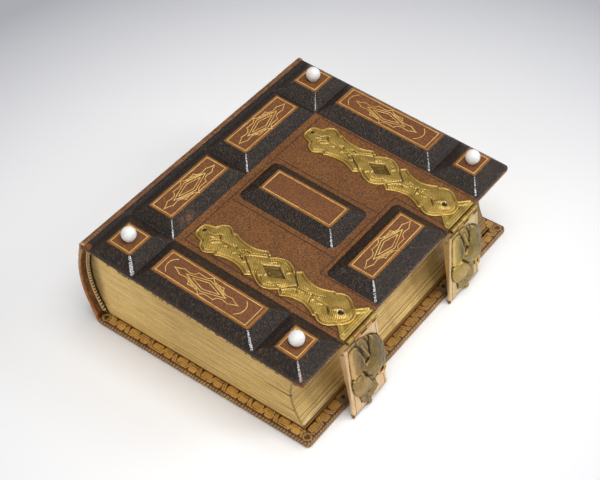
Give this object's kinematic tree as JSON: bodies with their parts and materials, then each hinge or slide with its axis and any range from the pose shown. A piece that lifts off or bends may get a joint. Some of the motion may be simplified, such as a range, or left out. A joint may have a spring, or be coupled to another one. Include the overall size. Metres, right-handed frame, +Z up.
{
  "type": "photo album",
  "caption": "Thick leather photo album with raised bevelled panels, pressed brass straps, white ball studs, gilt page edges and hinged brass clasps.",
  "frame": {"origin": "centre of the flat underside of the back cover, on the surface that the album rests on", "axes": "+X from the spine to the fore-edge, +Y from the tail to the head, +Z up through the leaves"},
  "size_m": [0.1426, 0.1632, 0.0647],
  "materials": {
    "cover_leather": "grained leather, brown with blackened bevels, worn at the edges",
    "page_edges": "gilt edges of thick card leaves",
    "headband": "worked in gold and dark thread",
    "endpaper": "plain cream",
    "stud_white": "white, satin",
    "pin_steel": "drawn wire, dull",
    "strap_brass": "pressed, gilt, worn and darkened in the hollows",
    "clasp_plate_metal": "thin sheet, pale gilt copper",
    "clasp_dark_brass": "pressed, tarnished"
  },
  "bodies": {
    "block": {"page_block": "page_edges", "spine": "cover_leather", "headband_tail": "headband", "headband_head": "headband", "flyleaf_front": "endpaper", "flyleaf_back": "endpaper"},
    "front": {"front_cover": "cover_leather", "pastedown_front": "endpaper", "stud_tail_spine": "stud_white", "stud_tail_fore": "stud_white", "stud_head_spine": "stud_white", "stud_head_fore": "stud_white", "stud_pins": "pin_steel", "strap_tail": "strap_brass", "strap_head": "strap_brass", "strap_nails": "strap_brass", "hinge_plate_tail": "clasp_plate_metal", "hinge_plate_head": "clasp_plate_metal", "hinge_pin_tail": "pin_steel", "hinge_pin_head": "pin_steel"},
    "clasp_tail": {"clasp_plate_tail": "clasp_plate_metal", "clasp_ornament_tail": "clasp_dark_brass", "clasp_rivets_tail": "clasp_dark_brass"},
    "clasp_head": {"clasp_plate_head": "clasp_plate_metal", "clasp_ornament_head": "clasp_dark_brass", "clasp_rivets_head": "clasp_dark_brass"},
    "back": {"back_cover": "cover_leather", "pastedown_back": "endpaper", "catch_tail": "clasp_dark_brass", "catch_head": "clasp_dark_brass", "catch_nails": "clasp_dark_brass"}
  },
  "joints": [
    {"name": "front_cover_hinge", "type": "hinge", "parent": "block", "child": "front", "pos_m": [-0.06435, 0, 0.053], "axis": [0, -1, 0], "range_deg": [0, 180]},
    {"name": "back_cover_hinge", "type": "hinge", "parent": "block", "child": "back", "pos_m": [-0.06435, 0, 0.00205], "axis": [0, 1, 0], "range_deg": [0, 180]},
    {"name": "clasp_tail_hinge", "type": "hinge", "parent": "front", "child": "clasp_tail", "pos_m": [0.06416, -0.042, 0.0435], "axis": [0, -1, 0], "range_deg": [-5, 170]},
    {"name": "clasp_head_hinge", "type": "hinge", "parent": "front", "child": "clasp_head", "pos_m": [0.06416, 0.0394, 0.0435], "axis": [0, -1, 0], "range_deg": [-1.6, 170]}
  ]
}
